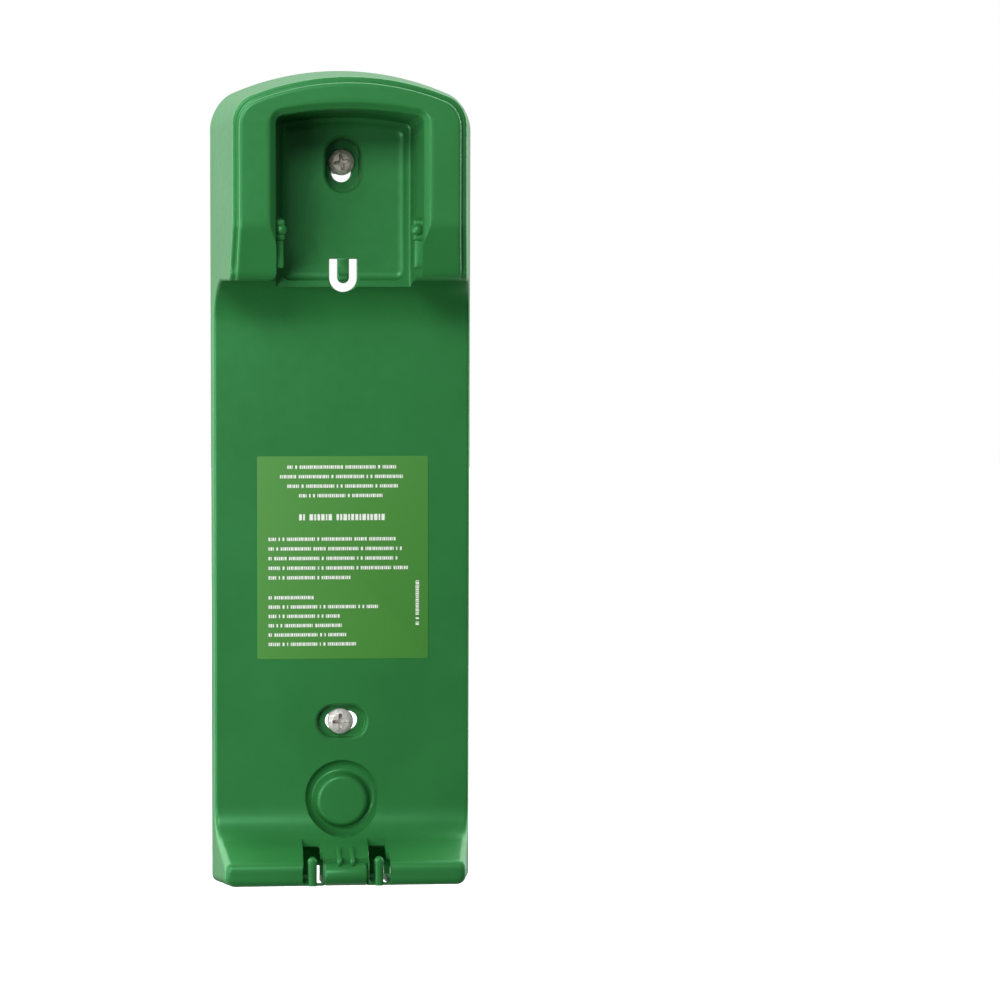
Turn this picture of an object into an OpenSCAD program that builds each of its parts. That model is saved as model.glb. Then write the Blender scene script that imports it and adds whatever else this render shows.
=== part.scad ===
// Wall holder for an emergency eyewash bottle: a thin-walled green moulding with a hood that takes
// the bottle's cap, a ledge that takes its base, and slots for two wall screws.
// Heights are measured from the bottom edge and depths from the wall. place() moves the result to
// the part's frame: +Z up, front facing -Y, origin on the wall plane in the middle of the back.

/* [Body] */
// Width of the back
body_w = 88.8; // [80:0.2:96]
// Height of the back, from the bottom edge to the crown of the arch
body_h = 277.8; // [270:0.2:290]
// Radius of the arched top
arch_r = 92; // [80:1:120]
// Radius of the two upper corners
corner_r = 10; // [6:0.5:14]
// Radius of the two lower corners
foot_r = 4; // [2:0.5:6]
// Wall thickness of the moulding
wall_t = 2.2; // [1.8:0.1:2.6]
// Depth of the middle panel
panel_d = 6; // [5:0.5:8]
// Sideways lean of the outer walls, for each millimetre of depth
draft = 0.135; // [0.08:0.005:0.16]

/* [Hood] */
// Depth of the side walls of the hood
hood_d = 46; // [42:0.5:50]
// Height of the raised face above the side walls
face_h = 2; // [1:0.5:3]
// Distance from the side wall's front edge to the raised face
shelf_w = 2; // [1:0.1:3]
// Height of the underside of the hood
hood_z = 206.5; // [200:0.5:212]
// Radius of the hollow curve under the hood
under_r = 16; // [12:1:20]
// Radius of the hood's lower front edge
brow_r = 4.5; // [4:0.5:6]
// Height at which the hood's front starts to slant back
slant_z = 218; // [215:0.5:222]
// Slant of the hood's lower front
slant = 20; // [15:1:22]

/* [Cap pocket] */
// Half width of the pocket at its mouth
mouth_w = 24.6; // [23:0.1:26]
// Half width of the pocket at its back
pocket_w = 22.8; // [21:0.1:23]
// Height of the crown of the pocket
pocket_top = 262.2; // [258:0.2:264]
// Radius of the pocket's arched roof
pocket_arch_r = 117; // [90:1:140]
// Depth of the lip round the pocket's back
pocket_d = 14.5; // [13:0.5:17]
// Depth of the tray inside that lip
tray_d = 13; // [12:0.5:15]
// Half width of the tray
tray_w = 21; // [19:0.5:22]
// Height of the bottom of the tray
tray_z = 206.7; // [205.7:0.1:208.7]

/* [Ledge] */
// Depth of the ledge that the bottle stands on
ledge_d = 28; // [26:0.5:30]
// Height at which the panel starts to curve into the ledge
cove_z = 27.5; // [27:0.1:28]
// Radius of the hollow curve between panel and ledge
cove_r = 12.5; // [12:0.1:13]
// Slope of the ledge down to its front
ledge_slope = 20; // [18:1:22]
// Height of the underside of the lip at its front
lip_z = 4; // [3.5:0.1:4.5]
// Radius of the rounded front of the lip
lip_r = 3; // [2.8:0.1:3.2]

/* [Fixings] */
// Height of the upper slot's centre
upper_slot_z = 245.65; // [245:0.05:247]
// Height of the lower slot's centre
lower_slot_z = 55.9; // [54:0.1:58]
// Width of both slots
slot_w = 6.8; // [6.4:0.1:7]
// Length of both slots, end to end
slot_l = 11.2; // [10.6:0.1:11.6]
// Depth of the floor that the screw heads bear on
seat_d = 3; // [2.5:0.1:3.2]
// Height of the upper screw in its slot
upper_screw_z = 246.8; // [245.8:0.1:247.8]
// Sideways place of the lower screw in its slot
lower_screw_x = -0.4; // [-1:0.1:1]
// Diameter of the screw's shank
screw_d = 4.5; // [4:0.1:4.5]
// Diameter of the screw's head
head_d = 8.6; // [8:0.1:8.8]
// Diameter of the wall plug
plug_d = 6; // [6:0.1:6.4]
// Length of the wall plug
plug_l = 30; // [25:1:35]

/* [Tongue and hooks] */
// Half width of the tongue's cut, outside
cut_w = 4.65; // [4.4:0.05:4.8]
// Width of the gap round the tongue
cut_gap = 2.6; // [2.5:0.1:2.8]
// Height of the tongue's root
tongue_z = 214; // [213:0.5:215]
// Sideways place of each hook's middle
hook_x = 11.25; // [11:0.05:11.5]
// Width of each hook
hook_w = 3.2; // [2.8:0.1:3.4]
// Height of the tip of each hook
hook_top = 13.3; // [12.8:0.1:13.8]

/* [Label] */
// Width of the label
label_w = 58.5; // [50:0.5:64]
// Height of the label
label_h = 69.5; // [60:0.5:80]
// Height of the label's bottom edge
label_z = 77.6; // [70:0.2:90]

/* [Hidden] */
$fn = 64;
GREEN = "#2e7d3a";
LABEL_GREEN = "#4a8f38";
STEEL = "#b9b6ae";
GREY = "#8e9296";
half_w = body_w / 2;
split = 0.4;               // gap at a flexing piece's root
eps = 0.01;                // thickness of the slices that a hull joins
reach = 60;                // longer than any cut has to be
bridge_z = 5.6;            // top of the strip that each hook stands on
boss_z = 28.9;             // height of the round boss under the lower slot
cove_end = [panel_d + cove_r + cove_r * cos(270 - ledge_slope), cove_z + cove_r * sin(270 - ledge_slope)];
nose_d = ledge_d - lip_r + lip_r * sin(ledge_slope);
nose_z = cove_end[1] - tan(ledge_slope) * (nose_d - cove_end[0]) - lip_r * cos(ledge_slope);
ledge_z = nose_z + lip_r;  // top of the ledge at its front
upper_bore = [6.2, 9.25];  // half width and half height of the upper counterbore
lower_bore = [8.7, 5.85];  // half width and half height of the lower counterbore
label_t = 0.15;
print_t = 0.08;

// --- frame -------------------------------------------------------------------------------------

// From heights and depths to the part's own frame
module place() translate([0, 0, -body_h / 2]) children();

// Extrudes a front outline (x, height) from depth d0 to depth d1
module forward(d0, d1)
    rotate([90, 0, 0]) translate([0, 0, d0]) linear_extrude(d1 - d0) children();

// Extrudes a side profile (depth, height) across the width from x0 to x1
module across(x0, x1)
    rotate([0, 0, -90]) rotate([90, 0, 0]) translate([0, 0, x0]) linear_extrude(x1 - x0)
        children();

// A revolved solid on an axis square to the wall: its profile is (radius, depth)
module turned(x, z) translate([x, 0, z]) rotate([90, 0, 0]) rotate_extrude() children();

function arc(cx, cy, r, from, to, steps = 12) =
    [for (i = [0:steps]) let (a = from + (to - from) * i / steps)
        [cx + r * cos(a), cy + r * sin(a)]];

// --- outlines ----------------------------------------------------------------------------------

// Front outline with a flat foot at height zb and an arched top: w half width, zt crown height,
// ra arch radius, rc upper corner radius, rb lower corner radius
function arched(w, zb, zt, ra, rc, rb) =
    let (zc = zt - ra, kx = w - rc, kz = zc + sqrt(pow(ra - rc, 2) - pow(kx, 2)),
         turn = atan2(kz - zc, kx))
    concat(arc(kx, kz, rc, 0, turn, 8), arc(0, zc, ra, turn, 180 - turn, 24),
           arc(-kx, kz, rc, 180 - turn, 180, 8), arc(-w + rb, zb + rb, rb, 180, 270, 6),
           arc(w - rb, zb + rb, rb, 270, 360, 6));

// The body's outline, drawn in by e on every side
module body_outline(e)
    polygon(arched(half_w - e, e, body_h - e, arch_r - e, max(corner_r - e, 2.5),
                   max(foot_r - e / 3, 1)));

// Side profile of the front: hood, hollow curve, panel, cove, ledge and lip, drawn in by t
module side_profile(t)
    polygon(concat(
        [[-1, -1], [-1, body_h + 1], [hood_d - t, body_h + 1], [hood_d - t, slant_z + t * tan(slant / 2)]],
        arc(hood_d - 3.4 - brow_r * cos(slant), hood_z + brow_r, brow_r - t, -slant, -90, 8),
        arc(panel_d + under_r, hood_z - under_r, under_r + t, 90, 180, 16),
        arc(panel_d + cove_r, cove_z, cove_r + t, 180, 270 - ledge_slope, 16),
        arc(ledge_d - lip_r, nose_z, lip_r - t, 90 - ledge_slope, 0, 6),
        arc(ledge_d - lip_r, lip_z + lip_r + t * 0.7, lip_r - t, 0, -80, 6)));

// Rounded slot: two full rounds and the bar between them, w and h half sizes
module slot_shape(w, h) {
    r = min(w, h);
    for (s = [-1, 1]) translate([s * (w - r), s * (h - r)]) circle(r);
    square([2 * max(w - r, 0.001) + (h > w ? 2 * r : 0), 2 * max(h - r, 0.001) + (w > h ? 2 * r : 0)],
           center = true);
}

module slot_prism(z, half, d0, d1) translate([0, 0, z]) forward(d0, d1) slot_shape(half[0], half[1]);

// --- holder ------------------------------------------------------------------------------------

// Leaning outer walls, as deep as the hood, drawn in by t, from depth d0 on
module leaning_block(t, d0) hull() {
    forward(d0, d0 + eps) body_outline(t + draft * d0);
    forward(hood_d - eps, hood_d) body_outline(t + draft * hood_d);
}

module outer_form(t, d0) intersection() {
    leaning_block(t, d0);
    across(-half_w, half_w) side_profile(t);
}

// Raised face of the hood
module hood_face() forward(hood_d - 1, hood_d + face_h)
    polygon(arched(half_w - draft * hood_d - shelf_w, slant_z + 5.5,
                   body_h - draft * hood_d - shelf_w, arch_r - draft * hood_d - shelf_w, 5, 0.5));

// The pocket for the cap, grown by t on its sides and roof, from height z0 up
module pocket(t, z0, d0) hull() {
    forward(d0, d0 + eps)
        polygon(arched(pocket_w + t, z0, pocket_top + t - 0.8, pocket_arch_r, 3 + t, 0.2));
    forward(hood_d + face_h + 1, hood_d + face_h + 1 + eps)
        polygon(arched(mouth_w + t, z0, pocket_top + t + 0.4, pocket_arch_r, 3 + t, 0.2));
}

// Cross ribs, lengthways ribs and screw bosses left standing in the hollow back
module kept_inside() {
    for (z = [78, 101, 124, 147, 170, 232])
        translate([-half_w, -reach, z]) cube([body_w, reach, 1.6]);
    for (x = [-16, 16]) translate([x - 0.8, -reach, 40]) cube([1.6, reach, 158]);
    pocket(wall_t, hood_z - 3, tray_d - wall_t);
    slot_prism(upper_slot_z, upper_bore + [1.8, 1.8], -1, reach);
    slot_prism(lower_slot_z, lower_bore + [1.8, 1.8], -1, reach);
    turned(0, boss_z) square([16, reach]);
}

module shell() difference() {
    union() {
        outer_form(0, 0);
        hood_face();
    }
    difference() {
        outer_form(wall_t, -1);
        kept_inside();
    }
}

module screw_seats() {
    slot_prism(upper_slot_z, upper_bore, seat_d, reach);
    slot_prism(lower_slot_z, lower_bore, seat_d, 2 * panel_d);
    slot_prism(upper_slot_z, [slot_w / 2, slot_l / 2], -1, reach);
    slot_prism(lower_slot_z, [slot_l / 2, slot_w / 2], -1, reach);
}

// U-shaped cut round the tongue
module tongue_cut() forward(-1, reach) {
    translate([0, tongue_z - 11.1 + cut_w]) circle(cut_w);
    translate([-cut_w, tongue_z - 11.1 + cut_w]) square([2 * cut_w, 11.1 - cut_w]);
}

// Notch for one hook: narrow in the ledge, wider at the lip, open below behind the bridge strip
module hook_notch(side) {
    x_in = side > 0 ? 7.5 : -15;
    translate([side * 11.15 - 2.95, -ledge_d + 2.8, -1]) cube([5.9, ledge_d - 14.8, 20]);
    translate([x_in, -ledge_d - 1, bridge_z]) cube([7.5, 9, 10]);
    translate([x_in, -ledge_d + 2.8, -1]) cube([7.5, 5.2, 10]);
}

// Round recess in panel and cove, wider towards the front
module boss_recess() turned(0, boss_z)
    polygon([[0, panel_d - 3.2], [12.3, panel_d - 3.2], [12.9, panel_d + 0.4], [15.8, 17], [16.6, 22],
             [0, 22]]);

module boss() turned(0, boss_z)
    polygon([[0, panel_d - 4], [10.9, panel_d - 4], [10.9, panel_d - 3], [9.6, panel_d - 2.5],
             [8.5, panel_d], [7.8, panel_d + 0.5], [0, panel_d + 0.5]]);

// Round bar between the hook notches
module hinge_bar() translate([-7.5, -(ledge_d - 3.6), 7.8]) rotate([0, 90, 0]) cylinder(r = 3.6, h = 15);

// Two small ribs on the ledge above the bar
module ledge_ribs() for (x = [-2.1, 2.3]) across(x - 0.6, x + 0.6)
    polygon([[17.5, 12], [17.5, 14.8], [25.4, 12.3], [26.4, 11], [26.4, 10]]);

// Tab inside the mouth with a domed catch on its front
module mouth_tab(side) {
    x_in = side > 0 ? 20.6 : -24.4;
    translate([x_in, -44, 210.6]) cube([3.8, 2.2, 8.9]);
    translate([x_in, -44.2, 219.9]) cube([3.8, 2.4, 7]);
    translate([x_in, -43.4, 210.6]) cube([3.8, 1.6, 16.3]);
    translate([side * 21.9, -44, 223]) sphere(r = 1.65);
}

module holder() color(GREEN) union() {
    difference() {
        shell();
        pocket(0, 190, pocket_d);
        forward(tray_d, pocket_d + 1)
            polygon(arched(tray_w, tray_z, pocket_top - 2.8, pocket_arch_r, 2, 1));
        screw_seats();
        tongue_cut();
        for (side = [-1, 1]) hook_notch(side);
        translate([-7.6, -ledge_d - 1, lip_z - 1]) cube([15.2, 4.4, 12]);
        boss_recess();
    }
    boss();
    hinge_bar();
    ledge_ribs();
    for (side = [-1, 1]) mouth_tab(side);
}

// --- flexing pieces ----------------------------------------------------------------------------

module tongue() color(GREEN) {
    w = cut_w - cut_gap;
    end_z = tongue_z - 11.1 + cut_gap + 0.3;
    forward(tray_d - 2, tray_d) {
        translate([0, end_z + w]) circle(w);
        translate([-w, end_z + w]) square([2 * w, tongue_z - split - end_z - w]);
    }
    across(-w * 0.75, w * 0.75)
        polygon([[tray_d - 0.5, end_z + 0.8], [tray_d + 1.1, end_z + 1], [tray_d + 1.1, end_z + 1.9],
                 [tray_d - 0.5, end_z + 3.4]]);
}

// A finger that leans on the bridge strip and hooks backwards over a hinge pin
module hook() color(GREEN) across(-hook_w / 2, hook_w / 2)
    polygon(concat(
        [[ledge_d - 2.6, bridge_z + split], [ledge_d - 0.2, bridge_z + split]],
        arc(ledge_d - 1.7, hook_top - 1.5, 1.5, 0, 90, 6),
        arc(ledge_d - 3, hook_top - 1.1, 1.1, 90, 250, 8),
        [[ledge_d - 2.4, hook_top - 2.4]]));

module hook_left() translate([-hook_x, 0, 0]) hook();
module hook_right() translate([hook_x, 0, 0]) hook();

// --- label -------------------------------------------------------------------------------------

module label() color(LABEL_GREEN) forward(panel_d, panel_d + label_t)
    translate([-label_w / 2 + 0.4, label_z]) square([label_w, label_h]);

// One plain printed bar: x from the label's left edge, z from its bottom edge
module bar(x, z, w, h)
    translate([-label_w / 2 + 0.4 + x, label_z + z]) square([w, h]);

// Plain bars in the places where a printed label has its lines
module label_print() color("white") forward(panel_d + label_t, panel_d + label_t + print_t) {
    heading = [38, 43, 38, 30];
    for (i = [0:3]) bar((label_w - heading[i]) / 2, 65.3 - 3.3 * i, heading[i], 1.3);
    bar((label_w - 30) / 2, 47.4, 30, 2.6);
    body = [44, 46, 45, 48, 28];
    for (i = [0:4]) bar(3.8, 40.6 - 3.3 * i, body[i], 1.3);
    footer = [16, 38, 25, 25, 27, 31];
    for (i = [0:5]) bar(3.8, 20.6 - 3.2 * i, footer[i], 1.3);
    bar(54.2, 11.5, 1.3, 16);
    bar(49.8, 5.2, 4.4, 2.4);
}

// --- screws and plugs --------------------------------------------------------------------------

// Pan-head wood screw with a cross recess, its axis square to the wall
module screw(x, z) color(STEEL) {
    under = seat_d + 0.15;
    difference() {
        turned(x, z) polygon(concat(
            [[0, under - 37.5], [screw_d / 2, under - 33], [screw_d / 2, under],
             [head_d / 2, under]],
            arc(head_d / 2 - 1, under + 0.9, 1, 0, 60, 5),
            [[head_d / 2 - 1.6, under + 2.3], [0, under + 2.5]]));
        for (a = [0, 90]) translate([x, -under - 1, z]) rotate([0, a, 0])
            translate([-2.6, -reach, -0.5]) cube([5.2, reach, 1]);
        turned(x, z) polygon([[0, under + 0.2], [0.9, under + 0.8], [1.3, under + 3],
                              [0, under + 3]]);
    }
}

module screw_upper() screw(0, upper_screw_z);
module screw_lower() screw(lower_screw_x, lower_slot_z);

// Ribbed expanding plug behind the wall plane, slit from its far end
module plug(x, z) color(GREY) difference() {
    turned(x, z) polygon([[screw_d / 2 + 0.05, -plug_l], [plug_d / 2 - 0.6, -plug_l],
                          [plug_d / 2, -plug_l + 2], [plug_d / 2, -0.2],
                          [screw_d / 2 + 0.05, -0.2]]);
    translate([x - 0.3, plug_l * 0.35, z - reach / 2]) cube([0.6, plug_l, reach]);
}

module plug_upper() plug(0, upper_screw_z);
module plug_lower() plug(lower_screw_x, lower_slot_z);

place() holder();
place() tongue();
place() hook_left();
place() hook_right();
place() label();
place() label_print();
place() screw_upper();
place() screw_lower();
place() plug_upper();
place() plug_lower();
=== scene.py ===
"""Wall holder for an eyewash bottle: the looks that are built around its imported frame.

Shapes are worked out in shop coordinates, in millimetres: x to the right, depth forward from the
wall, height up from the bottom edge. to_frame() takes them to the frame, in metres.
"""
import logging
import math
from dataclasses import dataclass
from enum import Enum
from typing import Callable, Sequence

import bmesh
import bpy
import numpy as np
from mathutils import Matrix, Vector


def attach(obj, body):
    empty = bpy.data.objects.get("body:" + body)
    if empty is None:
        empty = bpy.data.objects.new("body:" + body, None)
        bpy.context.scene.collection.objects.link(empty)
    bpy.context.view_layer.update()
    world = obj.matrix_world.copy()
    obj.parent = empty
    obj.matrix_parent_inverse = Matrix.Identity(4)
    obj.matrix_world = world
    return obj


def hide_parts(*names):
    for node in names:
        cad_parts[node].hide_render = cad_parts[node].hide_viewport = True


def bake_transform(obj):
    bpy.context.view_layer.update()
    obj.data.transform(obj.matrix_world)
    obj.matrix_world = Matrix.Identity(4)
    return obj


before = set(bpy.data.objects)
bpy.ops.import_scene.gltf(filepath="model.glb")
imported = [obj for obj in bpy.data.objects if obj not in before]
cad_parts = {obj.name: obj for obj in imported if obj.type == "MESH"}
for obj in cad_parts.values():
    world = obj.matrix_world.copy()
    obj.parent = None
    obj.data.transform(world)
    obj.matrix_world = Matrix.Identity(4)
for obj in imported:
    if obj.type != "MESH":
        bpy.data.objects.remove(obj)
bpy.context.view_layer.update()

BODY_H = 277.8
HALF_W = 44.4
SOLVER = "MANIFOLD"
Array = np.ndarray
log = logging.getLogger("wall_holder")


# --- arrays and meshes -------------------------------------------------------------------------


def to_frame(points: Array) -> Array:
    """Takes shop coordinates to the frame: x, minus depth, height less half the body's, in metres.

    Args:
        points: (..., 3) array of x, depth and height in millimetres.

    Returns:
        (..., 3) array of frame coordinates in metres.
    """
    moved = np.stack([points[..., 0], -points[..., 1], points[..., 2] - BODY_H / 2], axis=-1)
    return moved * 0.001


def spread(start: float, stop: float, count: int) -> Array:
    """Evenly spaced values, ends included."""
    return np.linspace(start, stop, count)


def smooth_step(t: Array) -> Array:
    """Cubic ease from 0 to 1: 3t squared less 2t cubed, with t held between 0 and 1."""
    t = np.clip(t, 0.0, 1.0)
    return t * t * (3 - 2 * t)


def arc(cx: float, cy: float, r: float, start: float, stop: float, count: int) -> Array:
    """Points on a circle: centre plus r times (cos, sin) of evenly spaced angles in degrees.

    Args:
        cx, cy: centre.
        r: radius.
        start, stop: first and last angle in degrees.
        count: number of points.

    Returns:
        (count, 2) array.
    """
    a = np.radians(spread(start, stop, count))
    return np.stack([cx + r * np.cos(a), cy + r * np.sin(a)], axis=-1)


def eased_corners(corners: Sequence[tuple[float, float, float]], steps: int = 6) -> Array:
    """An open line whose inner corners are rounded.

    Each corner with a radius r gives way to a curve that starts r times the tangent of half its
    turn before the corner and ends as far after it: a quadratic blend of start, corner and end.

    Args:
        corners: (u, v, radius) of each corner in order; the first and last radius are not used.
        steps: number of pieces in each curve.

    Returns:
        (n, 2) array.
    """
    pts = np.array([c[:2] for c in corners], float)
    out = [pts[:1]]
    t = spread(0, 1, steps + 1)[:, None]
    for before, here, after, radius in zip(pts, pts[1:], pts[2:], [c[2] for c in corners[1:-1]]):
        if radius <= 0:
            out.append(here[None])
            continue
        u = (before - here) / np.linalg.norm(before - here)
        v = (after - here) / np.linalg.norm(after - here)
        half = math.acos(float(np.clip(u @ v, -1, 1))) / 2
        reach = min(radius / math.tan(half), 0.49 * np.linalg.norm(before - here),
                    0.49 * np.linalg.norm(after - here))
        a, b = here + u * reach, here + v * reach
        out.append((1 - t) ** 2 * a + 2 * t * (1 - t) * here + t ** 2 * b)
    out.append(pts[-1:])
    return np.concatenate(out)


class Shell:
    """Patches of points and faces, gathered in shop coordinates and welded into one mesh."""

    def __init__(self, name: str) -> None:
        """Starts an empty shell of that name."""
        self.name = name
        self.points: list[Array] = []
        self.faces: list[list[int]] = []
        self.count = 0

    def grid(self, points: Array, closed: bool = False) -> None:
        """Adds a grid of quads: cell (i, j) joins points (i, j) to (i + 1, j + 1).

        Args:
            points: (rows, columns, 3) array.
            closed: whether the last column joins the first.
        """
        rows, cols = points.shape[:2]
        index = np.arange(rows * cols).reshape(rows, cols) + self.count
        right = np.roll(index, -1, axis=1) if closed else index[:, 1:]
        left = index if closed else index[:, :-1]
        quads = np.stack([left[:-1], right[:-1], right[1:], left[1:]], axis=-1).reshape(-1, 4)
        self.take(points.reshape(-1, 3), quads.tolist())

    def cap(self, loop: Array) -> None:
        """Closes a loop of points with one face."""
        self.take(loop, [list(range(self.count, self.count + len(loop)))])

    def take(self, points: Array, faces: list[list[int]]) -> None:
        """Keeps points and the faces that number them."""
        self.points.append(points)
        self.faces.extend(faces)
        self.count += len(points)

    def build(self, weld: float = 2e-7) -> bpy.types.Object:
        """Welds the patches, turns the faces outwards and puts the result in the scene.

        Args:
            weld: distance in metres under which points become one.

        Returns:
            The new object, at the origin.
        """
        mesh = bpy.data.meshes.new(self.name)
        mesh.from_pydata(to_frame(np.concatenate(self.points)), [], self.faces)
        work = bmesh.new()
        work.from_mesh(mesh)
        bmesh.ops.remove_doubles(work, verts=work.verts, dist=weld)
        bmesh.ops.dissolve_degenerate(work, edges=work.edges, dist=weld)
        bmesh.ops.recalc_face_normals(work, faces=work.faces)
        if work.calc_volume(signed=True) < 0:
            bmesh.ops.reverse_faces(work, faces=work.faces)
        for face in work.faces:
            face.smooth = True
        work.to_mesh(mesh)
        work.free()
        item = bpy.data.objects.new(self.name, mesh)
        bpy.context.scene.collection.objects.link(item)
        return item


def lofted(name: str, stations: Array) -> bpy.types.Object:
    """A closed solid through matching loops, with a flat face on the first and the last.

    Args:
        name: name of the object.
        stations: (stations, points, 3) array; every loop has the same number of points.

    Returns:
        The new object.
    """
    shell = Shell(name)
    shell.grid(stations, closed=True)
    shell.cap(stations[0])
    shell.cap(stations[-1])
    return shell.build()


def turned(name: str, profile: Array, x: float, z: float, sides: int = 64) -> bpy.types.Object:
    """A solid of revolution on an axis square to the wall: (radius, depth) swept round (x, z).

    Args:
        name: name of the object.
        profile: (n, 2) array of radius and depth that starts and ends on the axis.
        x, z: place of the axis.
        sides: number of steps round the axis.

    Returns:
        The new object.
    """
    a = np.arange(sides) * 2 * np.pi / sides
    r, d = profile[:, :1], profile[:, 1:]
    shell = Shell(name)
    shell.grid(np.stack([x + r * np.cos(a), d + 0 * a, z + r * np.sin(a)], axis=-1), closed=True)
    return shell.build()


class Cut(Enum):
    """How one solid is worked into another."""

    ADD = "UNION"
    REMOVE = "DIFFERENCE"
    KEEP = "INTERSECT"


def work_in(body: bpy.types.Object, tool: bpy.types.Object, cut: Cut) -> None:
    """Adds a solid to the body, removes it or keeps what they share, and takes the tool away.

    Args:
        body: the piece that is worked on.
        tool: the other solid, which is deleted afterwards.
        cut: which of the three is done.
    """
    modifier = body.modifiers.new("work", "BOOLEAN")
    modifier.operation = cut.value
    modifier.solver = SOLVER
    modifier.object = tool
    bpy.context.view_layer.update()
    graph = bpy.context.evaluated_depsgraph_get()
    result = bpy.data.meshes.new_from_object(body.evaluated_get(graph))
    body.modifiers.clear()
    old, body.data = body.data, result
    bpy.data.meshes.remove(old)
    bpy.data.meshes.remove(tool.data)


def crease(item: bpy.types.Object, degrees: float) -> None:
    """Shades the piece smooth except where two faces meet at more than that angle."""
    item.data.shade_smooth()
    item.data.set_sharp_from_angle(angle=math.radians(degrees))


# --- outlines ----------------------------------------------------------------------------------


def mirrored(half: Array) -> Array:
    """Closes a right half outline, which ends on the middle line, with its mirror image."""
    return np.concatenate([half, (half * [-1, 1])[::-1][1:]])


def arch_half(w: float, crown: float, ra: float, rc: float, steps: tuple[int, int]) -> Array:
    """Right half of an arched top, from the top of its side up to the crown.

    The corner's circle, of radius rc, touches the side x = w and the arch of radius ra from
    inside: its centre is w - rc across and ra - rc away from the arch's centre.

    Args:
        w: half width.
        crown: height of the arch's highest point.
        ra, rc: radius of the arch and of the corner.
        steps: number of points on the corner and on the arch.

    Returns:
        (n, 2) array that starts at (w, height of the side's end).
    """
    zc = crown - ra
    kx = w - rc
    kz = zc + math.sqrt((ra - rc) ** 2 - kx ** 2)
    turn = math.degrees(math.atan2(kz - zc, kx))
    return np.concatenate([arc(kx, kz, rc, 0, turn, steps[0]), arc(0, zc, ra, turn, 90, steps[1])[1:]])


def side_line(w: float, low: float, high: float, count: int) -> Array:
    """The inner points of an upright side at x = w between two heights."""
    return np.stack([np.full(count, w), spread(low, high, count + 2)[1:-1]], axis=-1)


def arched_loop(w: float, zb: float, zt: float, ra: float, rc: float, rb: float) -> Array:
    """Outline with a flat foot and an arched top: lower corner, side, upper corner and arch.

    Args:
        w: half width.
        zb, zt: height of the foot and of the crown.
        ra, rc, rb: radius of the arch, of the upper corners and of the lower corners.

    Returns:
        (n, 2) closed loop of x and height, the same n for any sizes.
    """
    top = arch_half(w, zt, ra, rc, (9, 16))
    side = side_line(w, zb + rb, top[0, 1], 14)
    return mirrored(np.concatenate([arc(w - rb, zb + rb, rb, -90, 0, 6), side, top]))


def slot_loop(w: float, h: float, steps: int = 24) -> Array:
    """Slot outline about the origin: two half rounds of the smaller half size, joined straight.

    Args:
        w, h: half width and half height.
        steps: number of points on each half round.

    Returns:
        (2 steps, 2) closed loop, anticlockwise.
    """
    r = min(w, h)
    if h >= w:
        top = arc(0, h - r, r, 0, 180, steps)
    else:
        top = arc(w - r, 0, r, -90, 90, steps)
    return np.concatenate([top, -top])


def box_loop(x0: float, x1: float, z0: float, z1: float, r: float, steps: int = 5) -> Array:
    """Rectangle with quarter-round corners.

    Args:
        x0, x1: left and right side.
        z0, z1: foot and top.
        r: radius of the corners.
        steps: number of points on each corner.

    Returns:
        (4 steps, 2) closed loop of x and height, anticlockwise.
    """
    return np.concatenate([arc(x1 - r, z1 - r, r, 0, 90, steps), arc(x0 + r, z1 - r, r, 90, 180, steps),
                           arc(x0 + r, z0 + r, r, 180, 270, steps), arc(x1 - r, z0 + r, r, 270, 360, steps)])


def rim_on_wall(grid: Array) -> Array:
    """The border of a grid as one closed loop, set down on the wall plane at depth 0."""
    loop = np.concatenate([grid[0], grid[1:, -1], grid[-1, -2::-1], grid[-2:0:-1, 0]])
    loop[:, 1] = 0.0
    return loop


def drawn_in(loop: Array, by: Array) -> Array:
    """Moves each point of a closed loop inwards along its normal, by one or several distances.

    The normal is square to the line between the two neighbours of the point.

    Args:
        loop: (n, 2) loop that runs anticlockwise.
        by: distances, one for each loop wanted.

    Returns:
        (len(by), n, 2) array of loops.
    """
    along = np.roll(loop, -1, axis=0) - np.roll(loop, 1, axis=0)
    along /= np.linalg.norm(along, axis=1, keepdims=True) + 1e-12
    inward = np.stack([-along[:, 1], along[:, 0]], axis=-1)
    return loop[None] + np.asarray(by, float)[:, None, None] * inward[None]


def at_depths(loops: Array, depths: Array, x: float = 0, z: float = 0) -> Array:
    """Puts a stack of (x, height) loops at their depths.

    Args:
        loops: (s, n, 2) array.
        depths: depth of each loop.
        x, z: how far all loops are moved across and up.

    Returns:
        (s, n, 3) array in shop coordinates.
    """
    depth = np.broadcast_to(np.asarray(depths, float)[:, None], loops.shape[:2])
    return np.stack([loops[..., 0] + x, depth, loops[..., 1] + z], axis=-1)


def flared(name: str, loop: Array, profile: Array, x: float = 0, z: float = 0) -> bpy.types.Object:
    """A cutter with one outline whose size changes with depth.

    Args:
        name: name of the object.
        loop: outline at its nominal size, anticlockwise.
        profile: (n, 2) array of how far the outline grows and at what depth.
        x, z: place of the outline's own zero.

    Returns:
        The new object.
    """
    return lofted(name, at_depths(drawn_in(loop, -profile[:, 0]), profile[:, 1], x, z))


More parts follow.
